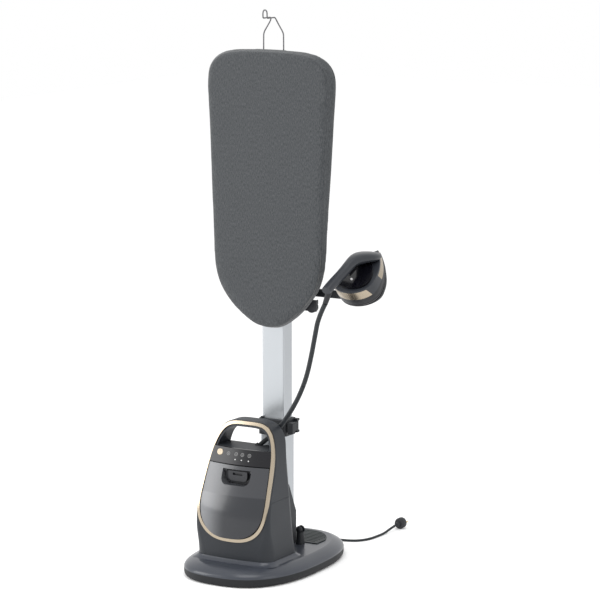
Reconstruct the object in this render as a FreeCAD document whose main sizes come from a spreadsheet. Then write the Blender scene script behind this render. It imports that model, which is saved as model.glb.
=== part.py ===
import FreeCAD, Part
import Sketcher
import math
import os
from FreeCAD import Placement, Rotation, Vector

# Upright ironing station: a steam iron docked beside a tilting board on a
# telescopic column, over a boiler tower with a water tank in its front.
# X runs across the board, -Y is the front, Z is up; the origin is on the
# floor under the column. All sizes are in millimetres and degrees.

doc = FreeCAD.newDocument("ironing_station")
sheet = doc.addObject("Spreadsheet::Sheet", "sizes")

SIZES = {
    # base
    "base_width": 374, "base_depth": 590, "base_mid_y": -62, "base_taper": 0.058,
    "base_power": 2.54, "cover_top": 52, "foot_height": 3,
    # columns and their collar
    "outer_width": 86, "outer_deep": 56, "inner_width": 78, "inner_deep": 48,
    "tube_wall": 2, "tube_round": 6, "outer_foot": 20, "outer_length": 412,
    "inner_foot": 252, "inner_length": 878, "bush_height": 50,
    "collar_width": 95, "collar_deep": 66, "collar_height": 49, "collar_foot": 387,
    # tower and its gold ring
    "skin": 3, "ring_mid": 235, "ring_half": 120, "ring_rise": 218.5,
    "ring_drop": 121.5,
    # board and hinge
    "hinge_height": 1150, "pin_radius": 5, "pin_length": 112,
    # iron and its dock
    "iron_at_x": 283.5, "iron_at_y": 40, "iron_at_z": 869.5, "iron_pitch": 44,
    "iron_yaw": -3.8, "iron_length": 198, "iron_width": 138,
    # inner works
    "boiler_radius": 33, "boiler_height": 130, "pump_radius": 20, "pump_height": 58,
    # hose and mains lead
    "hose_radius": 7, "lead_radius": 3.75, "coil_radius": 42,
}
for row, (name, value) in enumerate(SIZES.items(), start=1):
    sheet.set(f"A{row}", name)
    sheet.set(f"B{row}", str(value))
    sheet.setAlias(f"B{row}", name)
doc.recompute()


def size(name):
    return float(sheet.get(name))


nodes = []


# ---------------------------------------------------------------- helpers
def feature(label, shape, place=None):
    """One sub-part whose shape is worked out with Part's own functions."""
    item = doc.addObject("Part::Feature", label)
    item.Label = label
    item.Shape = shape
    if place is not None:
        item.Placement = place
    nodes.append(item)
    return item


def node(item, label):
    item.Label = label
    nodes.append(item)
    return item


def bind(item, **rules):
    for prop, rule in rules.items():
        item.setExpression(prop, rule)
    return item


def primitive(kind, name, at, turn=Rotation(), **rules):
    item = bind(doc.addObject(kind, name), **rules)
    item.Placement = Placement(Vector(*at), turn)
    return item


def join(kind, label, base, tool):
    item = doc.addObject(kind, label)
    item.Base, item.Tool = base, tool
    return item


def box(x0, x1, y0, y1, z0, z1):
    return Part.makeBox(x1 - x0, y1 - y0, z1 - z0, Vector(x0, y0, z0))


def rod(radius, start, end):
    start, end = Vector(*start), Vector(*end)
    return Part.makeCylinder(radius, (end - start).Length, start, end - start)


def spline_wire(points):
    curve = Part.BSplineCurve()
    curve.interpolate([Vector(*p) for p in points], PeriodicFlag=True)
    return Part.Wire([curve.toShape()])


def loft(wires, ruled=False):
    return Part.makeLoft(wires, True, ruled)


def fuse_all(shapes):
    return shapes[0].multiFuse(shapes[1:]) if len(shapes) > 1 else shapes[0]


def rounded_rectangle_body(label, width, depth, height, foot, wall=None, radius="tube_round"):
    """A PartDesign body: a centred rectangle padded up, its corners rounded."""
    body = doc.addObject("PartDesign::Body", label)
    body.Label = label
    plane = [f for f in body.Origin.OriginFeatures if f.Role == "XY_Plane"][0]

    def sketch_of(name, w_rule, d_rule):
        sketch = body.newObject("Sketcher::SketchObject", name)
        sketch.AttachmentSupport = (plane, [""])
        sketch.MapMode = "FlatFace"
        corners = [Vector(-5, -4, 0), Vector(5, -4, 0), Vector(5, 4, 0), Vector(-5, 4, 0)]
        for i in range(4):
            sketch.addGeometry(Part.LineSegment(corners[i], corners[(i + 1) % 4]))
        for i in range(4):
            sketch.addConstraint(Sketcher.Constraint("Coincident", i, 2, (i + 1) % 4, 1))
        for i in (0, 2):
            sketch.addConstraint(Sketcher.Constraint("Horizontal", i))
        for i in (1, 3):
            sketch.addConstraint(Sketcher.Constraint("Vertical", i))
        sketch.addConstraint(Sketcher.Constraint("Symmetric", 0, 1, 2, 1, -1, 1))
        across = sketch.addConstraint(Sketcher.Constraint("DistanceX", 0, 1, 0, 2, 10))
        deep = sketch.addConstraint(Sketcher.Constraint("DistanceY", 1, 1, 1, 2, 8))
        sketch.setExpression(f"Constraints[{across}]", w_rule)
        sketch.setExpression(f"Constraints[{deep}]", d_rule)
        return sketch

    outline = sketch_of(f"{label}_outline", width, depth)
    pad = body.newObject("PartDesign::Pad", f"{label}_pad")
    pad.Profile = outline
    pad.setExpression("Length", height)
    doc.recompute()
    upright = [f"Edge{i + 1}" for i, e in enumerate(pad.Shape.Edges)
               if abs(e.tangentAt(e.FirstParameter).z) > 0.99]
    rounds = body.newObject("PartDesign::Fillet", f"{label}_rounds")
    rounds.Base = (pad, upright)
    rounds.setExpression("Radius", f"sizes.{radius}")
    doc.recompute()
    if wall:
        bore = sketch_of(f"{label}_bore", f"{width} - 2 * {wall}", f"{depth} - 2 * {wall}")
        pocket = body.newObject("PartDesign::Pocket", f"{label}_hollow")
        pocket.Profile = bore
        pocket.Type = "ThroughAll"
        pocket.Reversed = True
        doc.recompute()
    body.Placement = Placement(Vector(0, 0, foot), Rotation())
    nodes.append(body)
    return body


# ---------------------------------------------------------------- outlines
def superellipse(half_x, half_y, power, turn):
    """Point of a super-ellipse in the direction turn, in even steps round it."""
    c, s = math.cos(turn), math.sin(turn)
    reach = (abs(c) ** power + abs(s) ** power) ** (-1 / power)
    return half_x * reach * c, half_y * reach * s


def base_wire(inset, z):
    """Super-ellipse plan of the base, a little narrower towards the rear."""
    half_w = size("base_width") / 2
    half_d = size("base_depth") / 2
    points = []
    for k in range(40):
        x, y = superellipse(half_w - inset, half_d - inset, size("base_power"),
                            2 * math.pi * k / 40)
        points.append((x * (1 - size("base_taper") * y / half_d),
                       y + size("base_mid_y"), z))
    return spline_wire(points)


def base_loft(steps):
    return loft([base_wire(inset, z) for inset, z in steps])


TOWER_LEVELS = tuple(range(62, 483, 30))


def tower_half(z):
    """Half width of the tower, narrowing more and more with height."""
    return 128 - 19 * ((z - 62) / 338) ** 2


def tower_rear(z):
    """Depth of the tower's rear wall, which leans forward and then stands upright."""
    return -90 - 30 * (1 - math.exp(-(z - 60) / 110))


def tower_front(z):
    """Depth of the tower's front: upright below, leaning back above z = 205."""
    rise = z - 205
    return -264 + 0.415 * (math.sqrt(rise ** 2 + 30 ** 2) + rise) / 2


def tower_wire(z, outset=0.0, front=0.0, bulge=6.0):
    """Plan of the tower at one height: bowed front, four rounded corners."""
    half = tower_half(z) + outset
    near = tower_front(z) - outset - front
    far = tower_rear(z) + outset
    r1 = 14 + 28 / (1 + math.exp((z - 115) / 18))
    r2 = 30 - 18 / (1 + math.exp((395 - z) / 22))
    d1 = r1 * (1 - math.sqrt(0.5))
    d2 = r2 * (1 - math.sqrt(0.5))

    def at(x, y):
        return Vector(x, y, z)

    return Part.Wire([
        Part.Arc(at(r1 - half, near), at(0, near - bulge), at(half - r1, near)).toShape(),
        Part.Arc(at(half - r1, near), at(half - d1, near + d1), at(half, near + r1)).toShape(),
        Part.makeLine(at(half, near + r1), at(half, far - r2)),
        Part.Arc(at(half, far - r2), at(half - d2, far - d2), at(half - r2, far)).toShape(),
        Part.makeLine(at(half - r2, far), at(r2 - half, far)),
        Part.Arc(at(r2 - half, far), at(d2 - half, far - d2), at(-half, far - r2)).toShape(),
        Part.makeLine(at(-half, far - r2), at(-half, near + r1)),
        Part.Arc(at(-half, near + r1), at(d1 - half, near + d1), at(r1 - half, near)).toShape()])


def tower_loft(outset=0.0, front=0.0, bulge=6.0, levels=TOWER_LEVELS):
    return loft([tower_wire(z, outset, front, bulge) for z in levels])


def ring_prism(inset, y0=-330.0, y1=-60.0):
    """Outline of the gold ring drawn inwards by inset, run through in Y."""
    half = size("ring_half") - inset
    points = []
    for k in range(48):
        turn = 2 * math.pi * k / 48
        upper = math.sin(turn) > 0
        tall = (size("ring_rise") if upper else size("ring_drop")) - inset
        x, up = superellipse(half, tall, 4.0 if upper else 2.6, turn)
        narrow = 1 - 0.10 * max(up, 0) / tall
        points.append((x * narrow, y0, size("ring_mid") + up))
    return Part.Face(spline_wire(points)).extrude(Vector(0, y1 - y0, 0))


# Half widths of the ironing board against height: its front face and its rear rim.
BOARD_FRONT = [(714, 0), (718, 34), (731, 64), (755, 100), (784, 132), (840, 170), (900, 185.5),
               (970, 188.5), (1058, 192), (1176, 196), (1290, 199.5), (1380, 204), (1430, 205.5),
               (1479, 197), (1508, 173), (1523, 138), (1529, 90), (1531, 40), (1531.5, 0)]
BOARD_REAR = [(710.5, 0), (714, 33), (727, 61), (754, 96), (785, 126), (840, 165), (900, 184),
              (970, 190.5), (1058, 196), (1176, 205), (1290, 212), (1380, 218), (1430, 221),
              (1475, 215), (1509, 189), (1527, 150), (1534, 98), (1536, 45), (1536.5, 0)]


def board_wire(y, inset=0.0):
    """Outline of the board at depth y, drawn inwards by inset along its own normals."""
    share = min(max((y + 56) / 29.0, 0.0), 1.0)
    right = [(f[1] + share * (r[1] - f[1]), f[0] + share * (r[0] - f[0]))
             for f, r in zip(BOARD_FRONT, BOARD_REAR)]
    ring = right + [(-x, z) for x, z in right[-2:0:-1]]
    points = []
    for k, (x, z) in enumerate(ring):
        x0, z0 = ring[k - 1]
        x1, z1 = ring[(k + 1) % len(ring)]
        length = math.hypot(x1 - x0, z1 - z0)
        points.append((x - inset * (z1 - z0) / length, y, z + inset * (x1 - x0) / length))
    return spline_wire(points)


def board_loft(steps):
    return loft([board_wire(y, inset) for y, inset in steps])


def bent_tube(points, radius, name=""):
    """Straight runs joined by tangent arcs, as one solid; prints the bend radii."""
    pts = [Vector(*p) for p in points]
    edges, radii, here = [], [], pts[0]
    for a, b, c in zip(pts, pts[1:], pts[2:]):
        d0, d1 = (b - a).normalize(), (c - b).normalize()
        half_turn = d0.getAngle(d1) / 2
        back = 0.45 * min((b - a).Length, (c - b).Length)
        bend = back / math.tan(half_turn)
        radii.append(bend)
        start, end = b - d0 * back, b + d1 * back
        inward = (d1 - d0).normalize()
        middle = b + inward * (bend / math.cos(half_turn) - bend)
        edges.append(Part.makeLine(here, start))
        edges.append(Part.Arc(start, middle, end).toShape())
        here = end
    edges.append(Part.makeLine(here, pts[-1]))
    spine = Part.Wire(edges)
    circle = Part.Wire([Part.makeCircle(radius, pts[0], pts[1] - pts[0])])
    tube = spine.makePipeShell([circle], True, True)
    length = sum(e.Length for e in edges)
    if name:
        even = math.pi * radius ** 2 * length
        print(f"{name}: length {length:.0f}, tightest bend {min(radii):.0f}, "
              f"volume {tube.Volume / even:.4f} of section times length")
    return tube, length


# ---------------------------------------------------------------- base
ring_outer = base_loft([(12, 0), (12, size("foot_height"))])
ring_inner = base_loft([(24, -1), (24, size("foot_height") + 1)])
feature("foot_ring", ring_outer.cut(ring_inner))

tray = base_loft([(5, 3), (1, 9), (0, 17), (0, 26)])
tray = tray.cut(base_loft([(8, 6), (4, 11), (3, 18), (3, 26.5)]))
feature("base_tray", tray)
feature("ballast_plate", base_loft([(16, 6), (16, 14)]))

cover = base_loft([(0, 26), (1.5, 32), (9, 40), (24, 48.5), (45, 52)])
cover = cover.common(box(-300, 300, -500, 400, 0, size("cover_top")))
cover = cover.cut(base_loft([(3, 25.5), (4.5, 31.5), (12, 38), (27, 45.5), (46, 49)]))
plinth = loft([tower_wire(z, out) for out, z in ((14, 50), (10, 52.6), (5.5, 56.5), (1.5, 62))])
plinth = plinth.cut(loft([tower_wire(z, -3) for z in (52, 63)]))
column_hole = box(-43, 43, -28, 28, 45, 60)
cover = cover.fuse(plinth).cut(column_hole).cut(box(-41, 41, -112, -29, 52, 64))
feature("base_cover", cover)

deck = base_loft([(52, 52), (53, 54.5)]).common(box(-112, 112, 42, 182, 51, 56))
for step in range(8):
    deck = deck.cut(box(-96, 96, 56 + 15 * step, 61 + 15 * step, 53.5, 56))
feature("rear_deck", deck)

post = Part.makeCone(13, 10, 44, Vector(68, 20, 52))
post = post.fuse(Part.makeSphere(13, Vector(68, 20, 97)))
post = post.cut(box(40, 100, 14, 26, 90, 120))
feature("cord_post", post)

foot_block = primitive("Part::Box", "foot_block", (-50, -36, 14), Length="100", Width="72",
                       Height="sizes.cover_top - 17")
foot_bore = primitive("Part::Box", "foot_bore", (-43, -28, 20), Length="sizes.outer_width",
                      Width="sizes.outer_deep", Height="60")
node(join("Part::Cut", "column_foot", foot_block, foot_bore), "column_foot")

# ---------------------------------------------------------------- columns
rounded_rectangle_body("lower_column", "sizes.outer_width", "sizes.outer_deep",
                       "sizes.outer_length", size("outer_foot"), wall="sizes.tube_wall")
rounded_rectangle_body("upper_column", "sizes.inner_width", "sizes.inner_deep",
                       "sizes.inner_length", size("inner_foot"), wall="sizes.tube_wall")

slide_hole = box(-39.3, 39.3, -24.3, 24.3, 0, 500)
bush = box(-41, 41, -26, 26, 382, 382 + size("bush_height")).cut(slide_hole)
feature("guide_bush", bush)

collar_x, collar_y = size("collar_width") / 2, size("collar_deep") / 2
collar_top = size("collar_foot") + size("collar_height")
collar = box(-collar_x, collar_x, -collar_y, collar_y, size("collar_foot"), collar_top)
collar = collar.makeFillet(9, [e for e in collar.Edges if abs(e.tangentAt(0).z) > 0.9])
collar = collar.makeFillet(2.5, [e for e in collar.Edges if e.BoundBox.ZMin > 435.9])
collar = collar.cut(box(-43, 43, -28, 28, 380, 432)).cut(slide_hole)
ears = fuse_all([box(46, 58, 18, 32, 392, 399), box(46, 58, 18, 32, 427, 434)])
collar = collar.fuse(ears).cut(rod(2.5, (53, 25, 380), (53, 25, 440)))
feature("lever_pin", rod(2.5, (53, 25, 391), (53, 25, 435)))
lever = box(48.2, 60, -26, 21, 399.6, 426.4).fuse(rod(5.1, (53, 25, 399.6), (53, 25, 426.4)))
lever = lever.fuse(box(56, 72, -32, -14, 396, 430))
lever = lever.makeFillet(3, [e for e in lever.Edges if e.BoundBox.XMin > 71.9])
feature("clamp_lever", lever.cut(rod(2.55, (53, 25, 390), (53, 25, 440))))
knob = rod(4, (-36, -28.5, 434), (-36, -28.5, 441))
knob = knob.makeFillet(1.5, [e for e in knob.Edges if e.BoundBox.ZMin > 440.9])
feature("height_collar", collar.fuse(knob))

# ---------------------------------------------------------------- tower
arch = box(-200, 200, -340, 0, 50, 235).fuse(ring_prism(-2.2).common(
    box(-200, 200, -340, 0, 235, 480)))
outer = tower_loft().common(arch)
hollow = tower_loft(-size("skin")).common(box(-200, 200, -340, 0, 60, 372))
hollow = hollow.common(box(-200, 200, -340, 0, 50, 235).fuse(ring_prism(1.5).common(
    box(-200, 200, -340, 0, 235, 480))))
front_window = ring_prism(9.2, -330, -177.9).common(box(-200, 200, -330, -100, 110, 372))
handle_hole = ring_prism(16, -330, 0).common(box(-200, 200, -330, 0, 378.5, 480))
rear_window = box(-40, 40, -125, -80, 50, 236)
shell = outer.cut(fuse_all([hollow, front_window, handle_hole, rear_window]))
shell = shell.cut(rod(11, (-6.4, -140.2, 355.3), (26.5, -123.8, 386.3)))

shroud_side = [(-110, 52), (-110, 262), (-90, 262), (-30, 252), (-10, 237), (31, 150), (31, 52)]
shroud_inner = [(-125, 50), (-125, 259), (-90, 259), (-31, 249), (-12, 234), (28, 149), (28, 50)]


def side_prism(points, half):
    wire = Part.makePolygon([Vector(-half, y, z) for y, z in points + points[:1]])
    return Part.Face(wire).extrude(Vector(2 * half, 0, 0))


shroud = side_prism(shroud_side, 47).cut(side_prism(shroud_inner, 44))
shroud = shroud.fuse(box(-47, 47, -36, 36, 150, 252).common(side_prism(shroud_side, 47)).cut(
    box(-44, 44, -60, -31, 140, 260)))
shroud = shroud.cut(box(-43, 43, -28, 28, 40, 300))
shroud = shroud.cut(tower_loft()).cut(plinth)
feature("tower_rear_shroud", max(shroud.Solids, key=lambda solid: solid.Volume))

FRONT_LEVELS = (90, 150, 190, 215, 240, 280, 340, 400, 480)


def front_arc(z, front, bulge):
    """Bowed line across the tower's front at height z, front further out."""
    near = tower_front(z) - front
    side = near + 0.7 * bulge
    return Part.Arc(Vector(-150, side, z), Vector(0, near - bulge, z), Vector(150, side, z))


def front_layer(front0, bulge0, front1, bulge1):
    """Material between two bowed surfaces that follow the tower's front."""
    wires = []
    for z in FRONT_LEVELS:
        outer_arc = front_arc(z, front1, bulge1).toShape()
        inner_arc = front_arc(z, front0, bulge0).toShape()
        ends = [(outer_arc.Vertexes[k].Point, inner_arc.Vertexes[k].Point) for k in (0, 1)]
        wires.append(Part.Wire([outer_arc, Part.makeLine(*ends[1]), inner_arc,
                                Part.makeLine(*ends[0])]))
    return loft(wires)


def behind(front, bulge):
    """Everything behind a bowed surface that follows the tower's front."""
    wires = []
    for z in FRONT_LEVELS:
        arc = front_arc(z, front, bulge).toShape()
        left, right = arc.Vertexes[0].Point, arc.Vertexes[1].Point
        far_left, far_right = Vector(-150, 60, z), Vector(150, 60, z)
        wires.append(Part.Wire([arc, Part.makeLine(right, far_right),
                                Part.makeLine(far_right, far_left),
                                Part.makeLine(far_left, left)]))
    return loft(wires)


def slab(z0, z1, y0=-340.0, y1=0.0):
    return box(-200, 200, y0, y1, z0, z1)


trim = front_layer(-6, 6, 2.6, 6).common(ring_prism(0).cut(ring_prism(9)))
feature("trim_ring", trim)
panel_zone = ring_prism(9.2).common(slab(334.6, 378.2))
panel_skin = panel_zone.common(front_layer(-5, 6, 1.2, 16))
feature("tower_shell", shell.cut(trim).cut(panel_skin))

lean = Vector(0, -0.937, 0.350)


def along_lean(radius, x, z, start, end):
    at = Vector(x, -202 - (z - 356) * -0.37, z)
    return Part.makeCylinder(radius, end - start, at + lean * start, lean)


panel_skin = panel_skin.cut(along_lean(10.2, -69, 360, -10, 40))
feature("control_panel", panel_skin)
button = along_lean(9.9, -69, 360, -4, 11.5)
button = button.makeFillet(1.2, [button.Edges[0]])
feature("power_button", button)

print_layer = front_layer(1.2, 16, 1.6, 16)
icons = []
for x in (-38, -11, 10.5, 34):
    icons.append(along_lean(5.5, x, 358, -10, 40).cut(along_lean(4.2, x, 358, -12, 42)))
    icons.append(along_lean(1.6, x, 358, -10, 40))
feature("mode_icons", fuse_all(icons).common(print_layer))
leds = [along_lean(1.8, x, 343, -10, 40) for x in (-11, 10.5, 34)]
feature("indicator_lights", fuse_all(leds).common(print_layer))
pcb = box(-75, 75, -0.8, 0.8, -14, 14)
pcb = pcb.fuse(box(-30, -6, -5, 0, -8, 8)).fuse(box(20, 34, -7, 0, -6, 8))
feature("control_board", pcb, Placement(Vector(0, -187, 353), Rotation(Vector(1, 0, 0), -20.5)))

# ---------------------------------------------------------------- tank and its bay
bay = ring_prism(9.2).common(slab(116, 334.6, -330, -178)).common(behind(-3.2, 6))
bay = bay.cut(ring_prism(11.4).common(slab(100, 332.4, -330, -180.5)))
bay = bay.cut(rod(8, (40, -190, 150), (40, -170, 150)))

tank_cut = ring_prism(11.8).common(slab(120, 332.0, -330, -181.2))
tank = tank_cut.common(behind(-1.0, 20))
inside = ring_prism(14.2).common(slab(126, 329.4, -330, -183.6)).common(
    behind(-3.4, 20))
recess = box(-46, 51, -330, -215, 278, 321.5)
recess = recess.makeFillet(20, [e for e in recess.Edges
                                if abs(e.tangentAt(0).y) > 0.9 and e.BoundBox.ZMin < 300])
recess_wall = box(-48.4, 53.4, -330, -212.6, 275.6, 324).common(tank)
tank = tank.cut(inside).fuse(recess_wall).cut(recess)
feature("tank_valve", rod(7.4, (40, -181.2, 150), (40, -176, 150)).fuse(
    rod(4, (40, -176, 150), (40, -171, 150))))
socket = box(26, 54, -179, -158, 136, 164).cut(rod(8, (40, -180, 150), (40, -168, 150)))
feature("tank_bay", bay.fuse(socket))
latch = box(-30, 35, -229, -219, 287, 316.5)
latch = latch.makeFillet(14, [e for e in latch.Edges
                              if abs(e.tangentAt(0).y) > 0.9 and e.BoundBox.ZMin < 300])
latch = latch.cut(box(-14, 19, -240, -222, 304, 311)).fuse(
    rod(2.5, (-38, -219.6, 316.5), (43, -219.6, 316.5)))
feature("tank_latch", latch)
ears = fuse_all([box(-47, -37, -223.5, -213, 312.6, 322), box(42, 52, -223.5, -213, 312.6, 322)])
tank = tank.fuse(ears.cut(rod(2.6, (-38.5, -219.6, 316.5), (43.5, -219.6, 316.5))))
feature("water_tank", tank)

# ---------------------------------------------------------------- inner works
node(primitive("Part::Cylinder", "pump", (-50, -146, 52), Radius="sizes.pump_radius",
               Height="sizes.pump_height"), "pump")
node(primitive("Part::Cylinder", "boiler", (0, -66, 52), Radius="sizes.boiler_radius",
               Height="sizes.boiler_height"), "boiler")
heater_outer = primitive("Part::Cylinder", "heater_outer", (0, -66, 64),
                         Radius="sizes.boiler_radius + 4", Height="16")
heater_inner = primitive("Part::Cylinder", "heater_inner", (0, -66, 60),
                         Radius="sizes.boiler_radius", Height="30")
node(join("Part::Cut", "boiler_heater", heater_outer, heater_inner), "boiler_heater")
steam_pipe, _ = bent_tube([(0, -70, 196), (0, -118, 196), (0, -148, 232), (0, -148, 316),
                           (-6.4, -140.2, 355.3)], 3)
steam_pipe = steam_pipe.cut(rod(12, (-6.4, -140.2, 355.3), (16.2, -128.9, 376.6)))
feature("steam_valve", box(-14, 14, -82, -54, 182, 210).fuse(steam_pipe))
gland = rod(10.9, (-6.4, -140.2, 355.3), (16.2, -128.9, 376.6))
feature("hose_gland", gland)

# ---------------------------------------------------------------- mast head
axis_z = size("hinge_height")
cap_side = [(-24, 1106), (-24, 1130), (-20, 1150), (20, 1150), (24, 1130), (24, 1106)]
cap = side_prism(cap_side, 42.6).fuse(rod(20, (-42.6, 0, axis_z), (42.6, 0, axis_z)))
cap = cap.cut(box(-39, 39, -24, 24, 1100, 1130)).cut(box(-28, 28, -40, 40, 1134, 1180))
cap = cap.fuse(box(-28, 28, -24, 24, 1130, 1134))
feature("column_cap", cap.cut(rod(5.05, (-60, 0, axis_z), (60, 0, axis_z))))

clamp = box(-43, 60, -22, 36, 807, 830).cut(box(-39, 39, -24, 24, 800, 840))
arm = clamp.fuse(box(60, 225, 20, 36, 807, 830))
arm = arm.fuse(box(60, 84, -6, 20, 807, 830).cut(rod(26, (86, -6, 800), (86, -6, 840))))
arm = arm.makeFillet(4, [e for e in arm.Edges if abs(e.tangentAt(e.FirstParameter).x) > 0.99
                         and e.BoundBox.XMin > 59 and e.BoundBox.XMax > 200])
feature("dock_arm", arm)

# ---------------------------------------------------------------- iron
# Its own axes: x from heel to nose, y to its left, z up from the sole.
pitch, yaw = math.radians(size("iron_pitch")), math.radians(size("iron_yaw"))
forward = Vector(-math.sin(yaw) * math.cos(pitch), math.cos(yaw) * math.cos(pitch),
                 math.sin(pitch))
sideways = Vector(-math.cos(yaw), -math.sin(yaw), 0)
up = forward.cross(sideways)
iron_frame = FreeCAD.Matrix(forward.x, sideways.x, up.x, size("iron_at_x"),
                            forward.y, sideways.y, up.y, size("iron_at_y"),
                            forward.z, sideways.z, up.z, size("iron_at_z"), 0, 0, 0, 1)
iron_place = Placement(iron_frame)


def on_iron(shape):
    """The same shape moved from the iron's own axes to the whole object's."""
    moved = shape.copy()
    moved.transformShape(iron_frame)
    return moved


def iron_outline(z, width, nose_inset=0.0, heel_inset=0.0, inset=0.0):
    """Plan of the iron at height z: blunt heel, widest behind the middle, pointed nose."""
    heel = -size("iron_length") / 2 + heel_inset + inset
    nose = size("iron_length") / 2 - nose_inset - inset * 1.6
    half = width / 2 - inset
    right = []
    for k in range(1, 18):
        turn = math.pi * k / 18
        t = 0.5 - 0.5 * math.cos(turn)
        if t < 0.26:
            w = half * math.sqrt(1 - ((0.26 - t) / 0.26) ** 2)
        else:
            w = half * (1 - ((t - 0.26) / 0.74) ** 2.05)
        right.append((heel + (nose - heel) * t, w, z))
    left = [(x, -w, z) for x, w, _ in right[::-1]]
    return spline_wire([(heel, 0, z)] + right + [(nose, 0, z)] + left)


def wedge(heel_z, nose_z, power=1.5, shift=0.0):
    """Everything below a sloping line that falls from heel to nose."""
    points = []
    for k in range(13):
        t = k / 12
        points.append(Vector(-99 + 198 * t, -90, heel_z + (nose_z - heel_z) * t ** power + shift))
    curve = Part.BSplineCurve()
    curve.interpolate([Vector(-130, -90, points[0].z)] + points + [Vector(130, -90, points[-1].z)])
    corners = [Vector(130, -90, points[-1].z), Vector(130, -90, -20), Vector(-130, -90, -20),
               Vector(-130, -90, points[0].z)]
    wire = Part.Wire([curve.toShape()] + [Part.makeLine(a, b) for a, b in zip(corners, corners[1:])])
    return Part.Face(wire).extrude(Vector(0, 180, 0))


def iron_loft(steps):
    return loft([iron_outline(z, w, nose, heel, inset) for z, w, nose, heel, inset in steps])


wide = size("iron_width")
sole = iron_loft([(0, wide, 0, 0, 2), (1.2, wide, 0, 0, 0.6), (4, wide, 0, 0, 0.6)])
feature("soleplate", sole, iron_place)
body = iron_loft([(4, wide, 1, 0, 1.5), (14, wide, 3, 0, 0), (28, wide, 7, 0, 0),
                  (45, wide - 2, 14, 1, 0), (62, wide - 6, 22, 3, 0)])
core = iron_loft([(4, wide, 1, 0, 5), (14, wide, 3, 0, 4), (28, wide, 7, 0, 4),
                  (45, wide - 2, 14, 1, 4), (70, wide - 6, 22, 3, 4)])
below_gold = wedge(28.6, 5.5)
above_gold = wedge(57, 13.9)
top = wedge(62, 17)
feature("iron_skirt", body.common(below_gold).cut(core), iron_place)
gold = body.common(above_gold).cut(below_gold).cut(core)
flanks = Part.makeBox(58, 200, 120, Vector(-70, -100, -20))
flanks.rotate(Vector(-41, 0, 30), Vector(0, 1, 0), -12)
feature("gold_band", gold.cut(flanks), iron_place)
feature("heater_block", core.common(wedge(20, 12)), iron_place)

shell_part = body.common(top).cut(above_gold)
deck_part = core.common(wedge(60, 15.5)).cut(wedge(56, 12))


def section(x, z, tilt, half_w, half_h, power=2.4):
    """Rounded section across the handle, its top leaning forward by tilt degrees."""
    points = []
    for k in range(20):
        a, b = superellipse(half_w, half_h, power, 2 * math.pi * k / 20)
        lean_x, lean_z = math.sin(math.radians(tilt)), math.cos(math.radians(tilt))
        points.append((x + b * lean_x, a, z + b * lean_z))
    return spline_wire(points)


bend = section(-2, 93, 32, 21, 15.5)
neck = loft([section(86, 4, 47, 14, 8), section(68, 24, 47, 29, 13), section(46, 48, 47, 35, 16),
             section(23, 72, 42, 30, 16.5), bend])
neck = neck.cut(wedge(62, 17))
handle = loft([bend, section(-22, 103, 21, 17, 14.5), section(-55, 112.5, 18, 15.5, 14),
               section(-100, 127, 18, 15, 13.5), section(-140, 140.5, 18, 15, 12.5),
               section(-158, 146.5, 18, 14, 11.5)])
shell_part = shell_part.fuse(deck_part)
bridges = gold.common(flanks)
feature("iron_shell", shell_part.fuse(bridges), iron_place)
feature("iron_neck", max(neck.Solids, key=lambda solid: solid.Volume), iron_place)


def trigger_block(x0, x1, half_y, z0, z1):
    """Block following the slope of the handle's underside."""
    block = Part.makeBox(x1 - x0, 2 * half_y, z1 - z0, Vector(x0, -half_y, z0))
    block.rotate(Vector(-36, 0, 90), Vector(0, 1, 0), 18)
    return block


trigger_gap = trigger_block(-58.8, -13.4, 8.3, 78, 99)
trigger_gap = trigger_gap.fuse(Part.makeCylinder(2.3, 24, Vector(-19, -12, 92), Vector(0, 1, 0)))
trigger = trigger_block(-57.7, -14.3, 8, 82, 95.5)
trigger = trigger.makeFillet(4, [e for e in trigger.Edges if abs(e.tangentAt(0).y) > 0.99])
trigger = trigger.fuse(Part.makeCylinder(2, 23, Vector(-19, -11.5, 92), Vector(0, 1, 0)))
handle = handle.cut(trigger_gap)
feature("iron_handle", handle, iron_place)
feature("steam_trigger", trigger, iron_place)
insert = iron_loft([(20, wide - 20, 50, 10, 0), (75, wide - 30, 56, 16, 0)])
insert = insert.cut(wedge(62.2, 17.4)).common(wedge(70, 24)).cut(neck)
feature("iron_top_insert", max(insert.Solids, key=lambda solid: solid.Volume), iron_place)
feature("iron_light", rod(3, (-52, 0, 50), (-52, 0, 69)).cut(wedge(70, 24)), iron_place)

tail = iron_place.multVec(Vector(-148, 0, 133))
relief_end = Vector(264, -172, 826)
relief = Part.makeCone(9.4, 7.6, (tail - relief_end).Length, tail, relief_end - tail)
feature("hose_relief", relief.cut(on_iron(handle)))

# ---------------------------------------------------------------- iron rest
plate = iron_loft([(-11, wide, 14, 12, 0), (-6, wide, 6, 4, 0), (-2, wide, 2, 1, 0)])
plate = on_iron(plate)
gusset_side = [(20, 807), (36, 807), (36, 853), (20, 837)]
wire = Part.makePolygon([Vector(225, y, z) for y, z in gusset_side + gusset_side[:1]])
gusset = Part.Face(wire).extrude(Vector(75, 0, 0))
clear_above = on_iron(Part.makeBox(300, 200, 60, Vector(-150, -100, -4)))
rest = plate.fuse(gusset.cut(clear_above))
feature("iron_rest", rest)
pads = []
for x, y, length, width in ((-62, 0, 20, 70), (30, 0, 60, 22)):
    pads.append(Part.makeBox(length, width, 1.6, Vector(x - length / 2, y - width / 2, -2)))
feature("rest_pads", on_iron(fuse_all(pads)))

# ---------------------------------------------------------------- board
outer_board = board_loft([(-61.5, 8), (-60.5, 4), (-58, 1.2), (-54, 0), (-40, 0), (-27, 0)])
inner_board = board_loft([(-57, 6), (-54, 6), (-40, 6), (-26, 6)])


def board_slab(y0, y1):
    return inner_board.common(box(-300, 300, y0, y1, 600, 1700))


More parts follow.
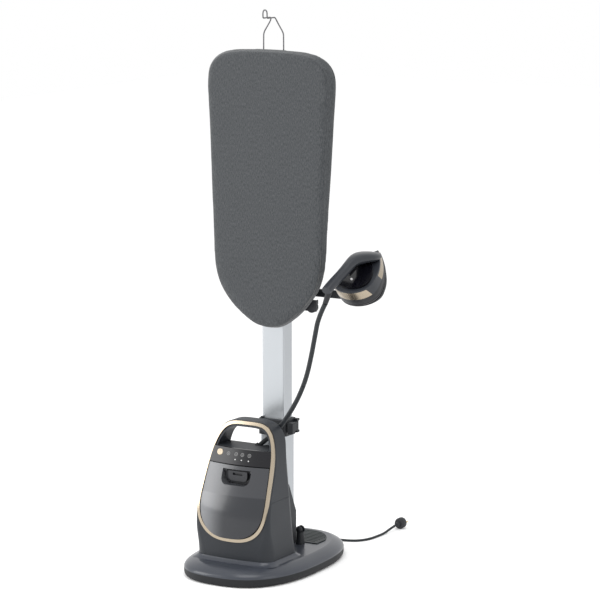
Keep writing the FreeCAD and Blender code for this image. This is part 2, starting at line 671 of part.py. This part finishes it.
feature("board_cover", outer_board.cut(inner_board))
feature("board_felt", board_slab(-57, -53))
feature("board_core", board_slab(-53, -31))
back = board_slab(-31, -27)
for x in (-51, 43):
    lug = Part.makePolygon([Vector(x, y, z) for y, z in (
        (-28, 1108), (-28, 1192), (-18, 1188), (12, 1157), (12, 1143), (-18, 1112), (-28, 1108))])
    lug = Part.Face(lug).extrude(Vector(8, 0, 0)).fuse(rod(14, (x, 0, axis_z), (x + 8, 0, axis_z)))
    back = back.fuse(lug)
for x in (-34, 34):
    back = back.fuse(box(x - 6, x + 6, -28, -11, 1496, 1526).cut(
        rod(2.3, (x, -18, 1490), (x, -18, 1530))))
back = back.fuse(box(96, 150, -27, -24, 772, 806))
back = back.fuse(fuse_all([box(112, 115, -25, -12, 793, 805), box(145, 148, -25, -12, 793, 805)]))
back = back.cut(rod(2, (100, -17, 799), (160, -17, 799)))
back = back.cut(rod(5, (-60, 0, axis_z), (60, 0, axis_z)))
feature("board_back", back)
node(primitive("Part::Cylinder", "hinge_pin", (-56, 0, axis_z), Rotation(Vector(0, 1, 0), 90),
               Radius="sizes.pin_radius", Height="sizes.pin_length"), "hinge_pin")

paddle = rod(2, (112, -17, 799), (148, -17, 799)).fuse(box(115.3, 144.7, -20, -10, 776, 802))
paddle = paddle.fuse(Part.makeCylinder(17, 13, Vector(130, -22, 783), Vector(0, 1, 0)))
paddle = paddle.common(box(100, 160, -23.6, 0, 760, 804.6))
feature("tilt_lever", paddle)


def wire_rod(points, radius):
    parts = [rod(radius, a, b) for a, b in zip(points, points[1:])]
    parts += [Part.makeSphere(radius, Vector(*p)) for p in points[1:-1]]
    return fuse_all(parts)


hook = wire_rod([(-34, -18, 1400), (-34, -18, 1578), (-5, -18, 1624), (-7, -26, 1626),
                  (-7, -64, 1626), (-7, -66, 1632), (-7, -66, 1644), (0, -66, 1648),
                  (7, -66, 1644), (7, -66, 1632), (7, -64, 1626), (7, -26, 1626),
                  (5, -18, 1624), (34, -18, 1578), (34, -18, 1400)], 2)
feature("hanger_hook", hook)

# ---------------------------------------------------------------- hose and mains lead
HOSE = [(16.2, -128.9, 376.6), (40, -117, 399), (66, -105, 426), (97, -108, 463),
        (128, -121, 502), (160, -137, 546), (192, -154, 603), (212, -162, 665),
        (228, -168, 728), (242, -172, 785), (264, -172, 826)]
split = 6
middle = tuple((a + b) / 2 for a, b in zip(HOSE[split - 1], HOSE[split]))
lower_hose, _ = bent_tube(HOSE[:split] + [middle], size("hose_radius"), "lower hose")
upper_hose, _ = bent_tube([middle] + HOSE[split:], size("hose_radius"), "upper hose")
feature("steam_hose_lower", lower_hose)
feature("steam_hose_upper", upper_hose)

floor = size("lead_radius")
LEAD_NEAR = [(-60, 268, 15), (-62, 300, 11), (-84, 330, floor), (-122, 330, floor),
             (-144, 320, floor), (-160, 306, floor)]
LEAD_FAR = [(-150, 291, floor), (-110, 290, floor), (-62, 285, floor), (-8, 287, floor),
            (43, 287, floor), (80, 293, floor), (107, 309, floor), (124, 342, floor),
            (128, 385, floor), (129, 430, floor), (132, 464, 12), (135, 493, 17.2)]
near_tube, _ = bent_tube(LEAD_NEAR, size("lead_radius"), "lead to the coil")
far_tube, _ = bent_tube(LEAD_FAR, size("lead_radius"), "lead to the plug")
coil = Part.makeTorus(size("coil_radius"), 12, Vector(-175, 262, 12))
feature("mains_lead_near", near_tube)
feature("mains_lead_far", far_tube)
feature("mains_coil", coil)
entry = Part.makeCone(8, 5.2, 36, Vector(-60, 232, 15), Vector(0, 1, 0))
base_solid = base_loft([(5, 3), (1, 9), (0, 17), (0, 26)])
feature("mains_relief", entry.cut(base_solid))
plug_at = Vector(135, 493, 17.2)
behind_pins = Vector(0, 1, 0)
plug = Part.makeCone(5, 9, 16, plug_at, behind_pins)
plug = plug.fuse(Part.makeCone(13, 17, 8, plug_at + behind_pins * 14, behind_pins))
plug = plug.fuse(Part.makeCylinder(17, 16, plug_at + behind_pins * 22, behind_pins))
feature("plug_body", plug)
pins = [Part.makeCylinder(2.4, 19, plug_at + Vector(x, 38, 0), behind_pins) for x in (-9.5, 9.5)]
feature("plug_pins", fuse_all(pins))

doc.recompute()
os.makedirs("parts", exist_ok=True)
for item in nodes:
    shape = item.Shape
    if "Invalid" in item.State or "Error" in item.State or shape.isNull():
        raise RuntimeError(f"{item.Label}: {item.State}")
    if not shape.isValid():
        raise RuntimeError(f"{item.Label}: shape is not valid")
    shape.exportStep(f"parts/{item.Label}.step")
    print(f"{item.Label}: {len(shape.Solids)} solid, {shape.Volume / 1000:.1f} cm3")
print(len(nodes), "sub-parts")
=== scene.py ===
import bpy
import bmesh
import math
from mathutils import Matrix, Vector


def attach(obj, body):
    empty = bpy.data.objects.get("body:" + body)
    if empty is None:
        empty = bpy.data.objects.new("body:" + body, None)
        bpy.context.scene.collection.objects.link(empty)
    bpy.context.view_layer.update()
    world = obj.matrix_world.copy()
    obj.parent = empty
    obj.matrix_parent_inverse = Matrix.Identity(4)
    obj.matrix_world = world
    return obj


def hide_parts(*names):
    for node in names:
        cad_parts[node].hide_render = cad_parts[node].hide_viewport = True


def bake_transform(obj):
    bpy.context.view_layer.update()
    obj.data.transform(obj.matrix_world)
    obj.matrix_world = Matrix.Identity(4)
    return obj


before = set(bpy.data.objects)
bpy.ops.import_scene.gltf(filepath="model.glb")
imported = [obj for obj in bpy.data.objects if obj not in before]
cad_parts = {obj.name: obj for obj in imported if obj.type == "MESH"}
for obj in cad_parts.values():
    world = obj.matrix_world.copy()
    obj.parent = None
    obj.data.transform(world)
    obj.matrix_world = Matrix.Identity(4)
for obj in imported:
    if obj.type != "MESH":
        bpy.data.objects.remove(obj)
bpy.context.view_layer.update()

# ---------------------------------------------------------------- camera
BACK = Vector((0.503, -0.848, 0.1668)).normalized()
RIGHT = Vector((0.860, 0.510, 0.0)).normalized()
UP = BACK.cross(RIGHT).normalized()
FAR = 8.63
view_data = bpy.data.cameras.new("view")
view_data.lens = 175.12
view_data.sensor_width = 36
view_data.clip_end = 60
camera = bpy.data.objects.new("view", view_data)
bpy.context.scene.collection.objects.link(camera)
place = Vector((0, 0, 0.83)) + BACK * FAR + RIGHT * (0.0077775 * FAR) - UP * (0.004557 * FAR)
turn = Matrix((RIGHT, UP, BACK)).transposed().to_4x4()
camera.matrix_world = Matrix.Translation(place) @ turn
bpy.context.scene.camera = camera


# ---------------------------------------------------------------- materials
def material(name, colour, rough=0.5, metal=0.0, coat=0.0, spots=0.0, spot_size=900.0,
             bump=0.0, bump_size=1500.0, sheen=0.0, through=0.0, wear=0.05, strength=0.0):
    """Procedural finish: colour that varies slightly, uneven roughness and a fine grain."""
    mat = bpy.data.materials.new(name)
    mat.use_nodes = True
    nodes, links = mat.node_tree.nodes, mat.node_tree.links
    shader = nodes["Principled BSDF"]
    where = nodes.new("ShaderNodeTexCoord")
    broad = nodes.new("ShaderNodeTexNoise")
    broad.inputs["Scale"].default_value = 9
    broad.inputs["Detail"].default_value = 4
    links.new(where.outputs["Object"], broad.inputs["Vector"])
    fine = nodes.new("ShaderNodeTexNoise")
    fine.inputs["Scale"].default_value = spot_size
    fine.inputs["Detail"].default_value = 2
    links.new(where.outputs["Object"], fine.inputs["Vector"])
    ramp = nodes.new("ShaderNodeValToRGB")
    low = [c * (1 - spots) for c in colour]
    high = [min(1, c * (1 + spots)) for c in colour]
    ramp.color_ramp.elements[0].position = 0.35
    ramp.color_ramp.elements[1].position = 0.65
    ramp.color_ramp.elements[0].color = (*low, 1)
    ramp.color_ramp.elements[1].color = (*high, 1)
    links.new(fine.outputs["Fac"], ramp.inputs["Fac"])
    mix = nodes.new("ShaderNodeMix")
    mix.data_type = "RGBA"
    mix.inputs[7].default_value = (*[c * 0.88 for c in colour], 1)
    links.new(ramp.outputs["Color"], mix.inputs[6])
    share = nodes.new("ShaderNodeMapRange")
    share.inputs["To Max"].default_value = 0.45
    links.new(broad.outputs["Fac"], share.inputs["Value"])
    links.new(share.outputs["Result"], mix.inputs["Factor"])
    links.new(mix.outputs[2], shader.inputs["Base Color"])
    uneven = nodes.new("ShaderNodeMapRange")
    uneven.inputs["To Min"].default_value = max(0.02, rough - wear)
    uneven.inputs["To Max"].default_value = min(1, rough + wear)
    links.new(broad.outputs["Fac"], uneven.inputs["Value"])
    links.new(uneven.outputs["Result"], shader.inputs["Roughness"])
    shader.inputs["Metallic"].default_value = metal
    shader.inputs["Specular IOR Level"].default_value = 0.5 if metal else 0.35
    shader.inputs["Coat Weight"].default_value = coat
    shader.inputs["Coat Roughness"].default_value = 0.12
    shader.inputs["Sheen Weight"].default_value = sheen
    shader.inputs["Transmission Weight"].default_value = through
    if strength:
        shader.inputs["Emission Color"].default_value = (*colour, 1)
        shader.inputs["Emission Strength"].default_value = strength
    if bump:
        grain = nodes.new("ShaderNodeTexNoise")
        grain.inputs["Scale"].default_value = bump_size
        links.new(where.outputs["Object"], grain.inputs["Vector"])
        relief = nodes.new("ShaderNodeBump")
        relief.inputs["Strength"].default_value = bump
        relief.inputs["Distance"].default_value = 0.0004
        links.new(grain.outputs["Fac"], relief.inputs["Height"])
        links.new(relief.outputs["Normal"], shader.inputs["Normal"])
    return mat


def woven(name, dark, light, pitch=0.0011, bump=0.5):
    """Heather weave: crossing threads as bump, with lighter and darker yarn flecks."""
    mat = material(name, dark, rough=0.92, sheen=0.25, wear=0.04)
    nodes, links = mat.node_tree.nodes, mat.node_tree.links
    shader = nodes["Principled BSDF"]
    where = nodes.new("ShaderNodeTexCoord")
    waves = []
    for axis in ("X", "Z"):
        wave = nodes.new("ShaderNodeTexWave")
        wave.bands_direction = axis
        wave.inputs["Scale"].default_value = 0.3 / pitch
        wave.inputs["Distortion"].default_value = 1.2
        links.new(where.outputs["Object"], wave.inputs["Vector"])
        waves.append(wave)
    cross = nodes.new("ShaderNodeMath")
    cross.operation = "MAXIMUM"
    links.new(waves[0].outputs["Fac"], cross.inputs[0])
    links.new(waves[1].outputs["Fac"], cross.inputs[1])
    stretch = nodes.new("ShaderNodeMapping")
    stretch.inputs["Scale"].default_value = (1.0, 1.0, 0.28)
    links.new(where.outputs["Object"], stretch.inputs["Vector"])
    fleck = nodes.new("ShaderNodeTexNoise")
    fleck.inputs["Scale"].default_value = 420
    fleck.inputs["Detail"].default_value = 5
    fleck.inputs["Roughness"].default_value = 0.75
    links.new(stretch.outputs["Vector"], fleck.inputs["Vector"])
    ramp = nodes.new("ShaderNodeValToRGB")
    ramp.color_ramp.elements[0].position = 0.36
    ramp.color_ramp.elements[1].position = 0.66
    ramp.color_ramp.elements[0].color = (*dark, 1)
    ramp.color_ramp.elements[1].color = (*light, 1)
    links.new(fleck.outputs["Fac"], ramp.inputs["Fac"])
    links.new(ramp.outputs["Color"], shader.inputs["Base Color"])
    relief = nodes.new("ShaderNodeBump")
    relief.inputs["Strength"].default_value = bump
    relief.inputs["Distance"].default_value = 0.0005
    links.new(cross.outputs["Value"], relief.inputs["Height"])
    links.new(relief.outputs["Normal"], shader.inputs["Normal"])
    return mat


def drawn_metal(name, colour, rough, stretch=(120, 120, 3), depth=0.06):
    """Anodised or brushed metal with long faint lines along the drawing direction."""
    mat = material(name, colour, rough=rough, metal=1.0, wear=0.05)
    nodes, links = mat.node_tree.nodes, mat.node_tree.links
    where = nodes.new("ShaderNodeTexCoord")
    scale = nodes.new("ShaderNodeMapping")
    scale.inputs["Scale"].default_value = stretch
    links.new(where.outputs["Object"], scale.inputs["Vector"])
    lines = nodes.new("ShaderNodeTexNoise")
    lines.inputs["Scale"].default_value = 9
    links.new(scale.outputs["Vector"], lines.inputs["Vector"])
    relief = nodes.new("ShaderNodeBump")
    relief.inputs["Strength"].default_value = depth
    relief.inputs["Distance"].default_value = 0.0004
    links.new(lines.outputs["Fac"], relief.inputs["Height"])
    links.new(relief.outputs["Normal"], nodes["Principled BSDF"].inputs["Normal"])
    return mat


def smoked_shell(name, dark, pale, level=0.60):
    """Tinted tank wall with a painted highlight that makes it paler towards its left edge; darker
    below the water line.
    """
    mat = material(name, dark, 0.26, coat=0.15, through=0.15, wear=0.03)
    nodes, links = mat.node_tree.nodes, mat.node_tree.links
    shader = nodes["Principled BSDF"]
    where = nodes.new("ShaderNodeTexCoord")
    axes = nodes.new("ShaderNodeSeparateXYZ")
    links.new(where.outputs["Generated"], axes.inputs["Vector"])
    # Painted highlight: towards the left edge the wall colour is blended to the pale colour, as if lit
    # from that side.
    highlight_sweep = nodes.new("ShaderNodeMapRange")
    highlight_sweep.interpolation_type = "SMOOTHSTEP"
    highlight_sweep.inputs["From Min"].default_value = 0.04
    highlight_sweep.inputs["From Max"].default_value = 0.46
    highlight_sweep.inputs["To Min"].default_value = 1.0
    highlight_sweep.inputs["To Max"].default_value = 0.0
    links.new(axes.outputs["X"], highlight_sweep.inputs["Value"])
    highlight_mix = nodes.new("ShaderNodeMix")
    highlight_mix.data_type = "RGBA"
    highlight_mix.inputs[6].default_value = (*dark, 1)
    highlight_mix.inputs[7].default_value = (*pale, 1)
    links.new(highlight_sweep.outputs["Result"], highlight_mix.inputs["Factor"])
    line = nodes.new("ShaderNodeMapRange")
    line.inputs["From Min"].default_value = level - 0.01
    line.inputs["From Max"].default_value = level + 0.01
    line.inputs["To Min"].default_value = 0.0
    line.inputs["To Max"].default_value = 0.35
    links.new(axes.outputs["Z"], line.inputs["Value"])
    air = nodes.new("ShaderNodeMix")
    air.data_type = "RGBA"
    air.inputs[7].default_value = (0.085, 0.087, 0.094, 1)
    links.new(line.outputs["Result"], air.inputs["Factor"])
    links.new(highlight_mix.outputs[2], air.inputs[6])
    links.new(air.outputs[2], shader.inputs["Base Color"])
    return mat


M = {
    "rubber": material("rubber", (0.022, 0.023, 0.026), 0.62, bump=0.2),
    "dark_lower": material("dark_lower", (0.006, 0.007, 0.009), 0.6, bump=0.15),
    "base_grey": material("base_grey", (0.040, 0.045, 0.057), 0.30, coat=0.15, spots=0.03,
                          bump=0.05),
    "deck_green": material("deck_green", (0.016, 0.022, 0.023), 0.55, bump=0.3),
    "column": drawn_metal("column", (0.44, 0.46, 0.48), 0.34),
    "collar": material("collar", (0.014, 0.016, 0.019), 0.5, bump=0.15),
    "tower": material("tower", (0.016, 0.019, 0.024), 0.48, spots=0.04, bump=0.18),
    "gold": material("gold", (0.40, 0.34, 0.26), 0.27, metal=1.0, wear=0.04),
    "panel": material("panel", (0.005, 0.005, 0.007), 0.28, coat=0.0, wear=0.03),
    "print": material("print", (0.22, 0.22, 0.22), 0.5),
    "led": material("led", (0.55, 0.55, 0.55), 0.3, strength=0.2),
    "circuit": material("circuit", (0.02, 0.16, 0.05), 0.4, spots=0.3, spot_size=300),
    # Tank wall: the second colour is a painted highlight, blended in towards the left edge.
    "smoke": smoked_shell("smoke", (0.026, 0.028, 0.033), (0.20, 0.205, 0.215)),
    "latch": material("latch", (0.022, 0.023, 0.027), 0.3, coat=0.1),
    "steel": drawn_metal("steel", (0.40, 0.41, 0.42), 0.32, (3, 200, 200)),
    "sole": drawn_metal("sole", (0.11, 0.11, 0.115), 0.36, (3, 200, 200)),
    "brass": material("brass", (0.75, 0.6, 0.32), 0.3, metal=1.0),
    "pale": material("pale", (0.55, 0.55, 0.53), 0.5, bump=0.1),
    "felt": material("felt", (0.09, 0.09, 0.088), 0.95, spots=0.1, bump=0.6, sheen=0.3),
    "back": material("back", (0.018, 0.019, 0.023), 0.5, bump=0.2),
    "wire": material("wire", (0.13, 0.13, 0.135), 0.36, metal=1.0),
    "iron_dark": material("iron_dark", (0.012, 0.013, 0.016), 0.42, bump=0.1),
    "iron_grey": material("iron_grey", (0.022, 0.025, 0.031), 0.34, coat=0.1),
    "iron_gloss": material("iron_gloss", (0.003, 0.003, 0.005), 0.14, coat=0.1, wear=0.02),
    "hose": material("hose", (0.014, 0.017, 0.020), 0.55, spots=0.08, bump=0.25),
    "cover": woven("cover", (0.024, 0.027, 0.030), (0.074, 0.079, 0.084)),
}
FINISH = {
    "foot_ring": "rubber", "base_tray": "dark_lower", "ballast_plate": "dark_lower",
    "base_cover": "base_grey", "rear_deck": "deck_green", "cord_post": "collar",
    "column_foot": "dark_lower", "lower_column": "column", "guide_bush": "pale",
    "height_collar": "collar", "lever_pin": "steel", "tower_shell": "tower",
    "tower_rear_shroud": "tower", "trim_ring": "gold", "control_panel": "panel",
    "mode_icons": "print", "indicator_lights": "led", "control_board": "circuit",
    "tank_bay": "dark_lower", "pump": "pale", "boiler": "steel", "boiler_heater": "steel",
    "steam_valve": "brass", "hose_gland": "rubber", "mains_relief": "rubber",
    "plug_body": "rubber", "plug_pins": "brass", "upper_column": "column",
    "column_cap": "collar", "dock_arm": "collar", "iron_rest": "collar",
    "rest_pads": "rubber", "board_felt": "felt", "board_core": "back",
    "board_back": "back", "hinge_pin": "steel", "tilt_lever": "collar",
    "clamp_lever": "collar", "water_tank": "smoke", "tank_valve": "rubber",
    "tank_latch": "latch", "power_button": "gold", "soleplate": "sole",
    "heater_block": "steel", "iron_skirt": "iron_dark", "gold_band": "gold",
    "iron_shell": "iron_grey", "iron_neck": "iron_grey", "iron_handle": "iron_grey",
    "iron_top_insert": "iron_gloss",
    "iron_light": "led", "hose_relief": "rubber", "steam_trigger": "iron_gloss",
}
for name, finish in FINISH.items():
    part = bpy.data.objects.get(name)
    if part is not None:
        part.data.materials.clear()
        part.data.materials.append(M[finish])


# ---------------------------------------------------------------- mesh helpers
def add_object(name, data, mat=None):
    obj = bpy.data.objects.new(name, data)
    bpy.context.scene.collection.objects.link(obj)
    if mat:
        data.materials.append(M[mat])
    return obj


def from_bmesh(name, bm, mat, smooth=True):
    mesh = bpy.data.meshes.new(name)
    bmesh.ops.recalc_face_normals(bm, faces=bm.faces)
    bm.to_mesh(mesh)
    bm.free()
    for face in mesh.polygons:
        face.use_smooth = smooth
    return add_object(name, mesh, mat)


def nurbs(name, points, radius=0.0):
    """Smooth open NURBS line through the given control points, in millimetres."""
    curve = bpy.data.curves.new(name, "CURVE")
    curve.dimensions = "3D"
    spline = curve.splines.new("NURBS")
    spline.points.add(len(points) - 1)
    for point, at in zip(spline.points, points):
        point.co = (at[0] / 1000, at[1] / 1000, at[2] / 1000, 1)
    spline.order_u = 3
    spline.use_endpoint_u = True
    spline.resolution_u = 10
    curve.bevel_depth = radius
    curve.bevel_resolution = 5
    curve.use_fill_caps = True
    return curve


def route_points(points):
    """Points along the NURBS line, as Blender evaluates it."""
    obj = add_object("route", nurbs("route", points))
    bpy.context.view_layer.update()
    mesh = bpy.data.meshes.new_from_object(obj.evaluated_get(
        bpy.context.evaluated_depsgraph_get()))
    found = [v.co.copy() for v in mesh.vertices]
    bpy.data.objects.remove(obj)
    return found


def bridge(bm, loops):
    """Faces between each ring of vertices and the next."""
    for a, b in zip(loops, loops[1:]):
        for i in range(len(a)):
            j = (i + 1) % len(a)
            bm.faces.new((a[i], a[j], b[j], b[i]))


def tube(name, path, radius, mat, sides=20):
    """Round tube of even radius along a path, closed at both ends."""
    bm = bmesh.new()
    side = (path[1] - path[0]).orthogonal().normalized()
    loops = []
    for k, at in enumerate(path):
        ahead = path[min(k + 1, len(path) - 1)] - path[max(k - 1, 0)]
        ahead.normalize()
        side = (side - ahead * side.dot(ahead)).normalized()
        other = ahead.cross(side)
        loops.append([bm.verts.new(at + (side * math.cos(a) + other * math.sin(a)) * radius)
                      for a in (2 * math.pi * i / sides for i in range(sides))])
    bridge(bm, loops)
    bm.faces.new(loops[0][::-1])
    bm.faces.new(loops[-1])
    return from_bmesh(name, bm, mat)


# ---------------------------------------------------------------- hose and mains lead
HOSE_RADIUS = 0.007
LEAD_RADIUS = 0.00375
WIRE_RADIUS = 0.002
HOSE = [(16.2, -128.9, 376.6), (40, -117, 399), (66, -105, 426), (97, -108, 463),
        (128, -121, 502), (160, -137, 546), (192, -154, 603), (212, -162, 665),
        (228, -168, 728), (242, -172, 785), (264, -172, 826)]
line = route_points(HOSE)
middle = Vector((176, -145.5, 574.5)) / 1000
cut = min(range(len(line)), key=lambda k: (line[k] - middle).length)
lower_path, upper_path = line[:cut + 1], line[cut:]


hose_low = tube("hose_low", lower_path, HOSE_RADIUS, "hose")
hose_high = tube("hose_high", upper_path, HOSE_RADIUS, "hose")
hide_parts("steam_hose_lower")
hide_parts("steam_hose_upper")
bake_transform(hose_low)
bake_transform(hose_high)

# Height of the lead's centre line where it lies on the floor, in millimetres.
FLOOR = 1000 * LEAD_RADIUS
LEAD_NEAR = [(-60, 268, 15), (-62, 300, 11), (-84, 330, FLOOR), (-122, 330, FLOOR),
             (-160, 319, FLOOR)]
LEAD_FAR = [(-127, 254, 11.2), (-115, 270, 8), (-97, 281, 4.5), (-62, 285, FLOOR),
            (-8, 287, FLOOR), (43, 287, FLOOR), (80, 293, FLOOR), (107, 309, FLOOR), (124, 342, FLOOR),
            (128, 385, FLOOR), (129, 430, FLOOR), (132, 464, 12), (135, 493, 17.2)]
coil = []
COIL_X, COIL_Y = -175, 262
COIL_START = math.radians(120)
PER_TURN = 12
STEP_OVER = 4
# Radius and height of each turn: three on the floor, two resting on them.
TURNS = [(49.5, FLOOR), (42.0, FLOOR), (34.5, FLOOR), (38.2, 10.6), (45.8, 10.6)]
for k in range(PER_TURN * len(TURNS) - STEP_OVER):
    r0, z0 = TURNS[k // PER_TURN]
    r1, z1 = TURNS[min(k // PER_TURN + 1, len(TURNS) - 1)]
    share = max(0.0, (k % PER_TURN - PER_TURN + STEP_OVER) / STEP_OVER)
    angle = COIL_START + 2 * math.pi * k / PER_TURN
    r, z = r0 + (r1 - r0) * share, z0 + (z1 - z0) * share
    coil.append((COIL_X + r * math.cos(angle), COIL_Y + r * math.sin(angle), z))
lead_curve = nurbs("mains_lead", LEAD_NEAR + coil + LEAD_FAR, LEAD_RADIUS)
lead = add_object("mains_lead", lead_curve, "hose")
lead_line = route_points(LEAD_NEAR + coil + LEAD_FAR)
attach(lead, "stand")
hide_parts("mains_lead_near", "mains_lead_far", "mains_coil")

# ---------------------------------------------------------------- hook
HOOK = [(-34, -18, 1400), (-34, -18, 1490), (-34, -18, 1570), (-33, -18, 1582),
        (-18, -18, 1604), (-9, -18, 1619), (-7, -22, 1626), (-7, -34, 1626), (-7, -56, 1626),
        (-7, -65, 1626), (-7, -66, 1634), (-7, -66, 1642), (-5, -66, 1648), (0, -66, 1650),
        (5, -66, 1648), (7, -66, 1642), (7, -66, 1634), (7, -65, 1626), (7, -56, 1626),
        (7, -34, 1626), (7, -22, 1626), (9, -18, 1619), (18, -18, 1604), (33, -18, 1582),
        (34, -18, 1570), (34, -18, 1490), (34, -18, 1400)]
hook = tube("hook_wire", route_points(HOOK), WIRE_RADIUS, "wire", 14)
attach(hook, "hook")
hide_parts("hanger_hook")

# ---------------------------------------------------------------- board cover
BOARD_FRONT = [(714, 0), (718, 34), (731, 64), (755, 100), (784, 132), (840, 170), (900, 185.5),
               (970, 188.5), (1058, 192), (1176, 196), (1290, 199.5), (1380, 204), (1430, 205.5),
               (1479, 197), (1508, 173), (1523, 138), (1529, 90), (1531, 40), (1531.5, 0)]
BOARD_REAR = [(710.5, 0), (714, 33), (727, 61), (754, 96), (785, 126), (840, 165), (900, 184),
              (970, 190.5), (1058, 196), (1176, 205), (1290, 212), (1380, 218), (1430, 221),
              (1475, 215), (1509, 189), (1527, 150), (1534, 98), (1536, 45), (1536.5, 0)]


def board_ring(y, inset, count=160):
    """Outline of the board at depth y, evenly stepped, drawn inwards by inset."""
    share = min(max((y + 56) / 29.0, 0.0), 1.0)
    right = [Vector((f[1] + share * (r[1] - f[1]), f[0] + share * (r[0] - f[0]), 0))
             for f, r in zip(BOARD_FRONT, BOARD_REAR)]
    ring = right + [Vector((-p.x, p.y, 0)) for p in right[-2:0:-1]]
    total = len(ring)
    fine = []
    for k in range(total):
        p0, p1, p2, p3 = (ring[(k + j - 1) % total] for j in range(4))
        for step in range(16):
            t = step / 16
            fine.append(0.5 * ((2 * p1) + (p2 - p0) * t + (2 * p0 - 5 * p1 + 4 * p2 - p3) * t * t
                               + (3 * p1 - p0 - 3 * p2 + p3) * t ** 3))
    walk = [0.0]
    for a, b in zip(fine, fine[1:] + fine[:1]):
        walk.append(walk[-1] + (b - a).length)
    even, k = [], 0
    for step in range(count):
        goal = walk[-1] * step / count
        while walk[k + 1] < goal:
            k += 1
        t = (goal - walk[k]) / max(walk[k + 1] - walk[k], 1e-9)
        even.append(fine[k % len(fine)].lerp(fine[(k + 1) % len(fine)], t))
    points = []
    for k, p in enumerate(even):
        along = (even[(k + 1) % count] - even[k - 1]).normalized()
        points.append(Vector((p.x - along.y * inset, y, p.y + along.x * inset)) / 1000)
    return points


def board_pad():
    """Closed padded form: front face, rounded edge, flared band and turned-in hem."""
    bm = bmesh.new()
    loops = []
    for y, inset in ((-59.2, 9), (-58.8, 4.5), (-57.6, 1.7), (-54, 0.4), (-46, 0.2), (-38, 0.2),
                     (-29, 0.4), (-28, 5.5), (-30.5, 6.5)):
        loops.append([bm.verts.new(p) for p in board_ring(y, inset)])
    bridge(bm, loops)
    bm.faces.new(loops[0][::-1])
    bm.faces.new(loops[-1])
    return from_bmesh("board_pad", bm, "cover")


VOXEL = 0.0055
CLOTH_STEPS = 20
MOST_FRONT, MOST_SIDE = 0.0028, 0.0012
FRONT_Y, HEM_Y = -0.045, -0.0315

pad = board_pad()
remesh = pad.modifiers.new("remesh", "REMESH")
remesh.mode = "VOXEL"
remesh.voxel_size = VOXEL
bpy.context.view_layer.update()
deps = bpy.context.evaluated_depsgraph_get()
solid = bpy.data.meshes.new_from_object(pad.evaluated_get(deps))
pad.modifiers.clear()
pad.data = solid
rest = [v.co.copy() for v in pad.data.vertices]
cloth = pad.modifiers.new("cloth", "CLOTH")
cloth.settings.use_pressure = True
cloth.settings.uniform_pressure_force = 4
cloth.settings.effector_weights.gravity = 0
cloth.settings.quality = 4
cloth.point_cache.frame_start = 1
cloth.point_cache.frame_end = CLOTH_STEPS
for step in range(1, CLOTH_STEPS + 1):
    bpy.context.scene.frame_set(step)
deps = bpy.context.evaluated_depsgraph_get()
swollen = bpy.data.meshes.new_from_object(pad.evaluated_get(deps))
pad.modifiers.clear()
pad.data = swollen
bpy.context.scene.frame_set(1)
for vert, start in zip(pad.data.vertices, rest):
    move = vert.co - start
    most = MOST_FRONT if start.y < FRONT_Y else MOST_SIDE
    if start.y > HEM_Y:
        most = 0.0
    if move.length > most:
        move = move.normalized() * most
    vert.co = start + move
# Small pulls in the side band, near the upper right corner.
for vert in pad.data.vertices:
    x, y, z = vert.co
    near = math.exp(-((x - 0.195) ** 2 + (z - 1.50) ** 2) / 0.05 ** 2)
    if -0.060 < y < -0.032:
        ripple = math.sin(z * 420 + x * 260) * 0.0007 * near
        vert.co.x += ripple
        vert.co.z += ripple
smooth = pad.modifiers.new("round", "SUBSURF")
smooth.levels = 1
smooth.render_levels = 1
for face in pad.data.polygons:
    face.use_smooth = True
pad.data.materials.clear()
pad.data.materials.append(M["cover"])
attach(pad, "board")
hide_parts("board_cover")

# ---------------------------------------------------------------- floor and light
bm = bmesh.new()
for x, y in ((-9, -14), (9, -14), (9, 14), (-9, 14)):
    bm.verts.new((x, y, 0))
bm.faces.new(bm.verts)
floor = from_bmesh("floor", bm, None, False)
white = material("floor_white", (0.97, 0.97, 0.97), 0.9, spots=0.01, strength=0.07)
floor.data.materials.append(white)

world = bpy.data.worlds.new("studio")
bpy.context.scene.world = world
world.use_nodes = True
world.node_tree.nodes["Background"].inputs["Color"].default_value = (1, 1, 1, 1)
world.node_tree.nodes["Background"].inputs["Strength"].default_value = 1.0
bpy.context.scene.view_settings.view_transform = "Standard"


def lamp(name, at, aim, width, power):
    data = bpy.data.lights.new(name, "AREA")
    data.size = width
    data.energy = power
    obj = bpy.data.objects.new(name, data)
    bpy.context.scene.collection.objects.link(obj)
    obj.location = at
    obj.rotation_mode = "QUATERNION"
    obj.rotation_quaternion = (Vector(at) - Vector(aim)).to_track_quat("Z", "Y")
    return obj


lamp("left_soft", (-3.4, -2.6, 1.8), (0, 0, 0.7), 2.6, 100)
lamp("top_soft", (0.6, -1.2, 4.2), (0, 0, 0.6), 2.5, 60)
lamp("right_soft", (3.4, -0.6, 1.6), (0, 0, 0.7), 1.6, 12)
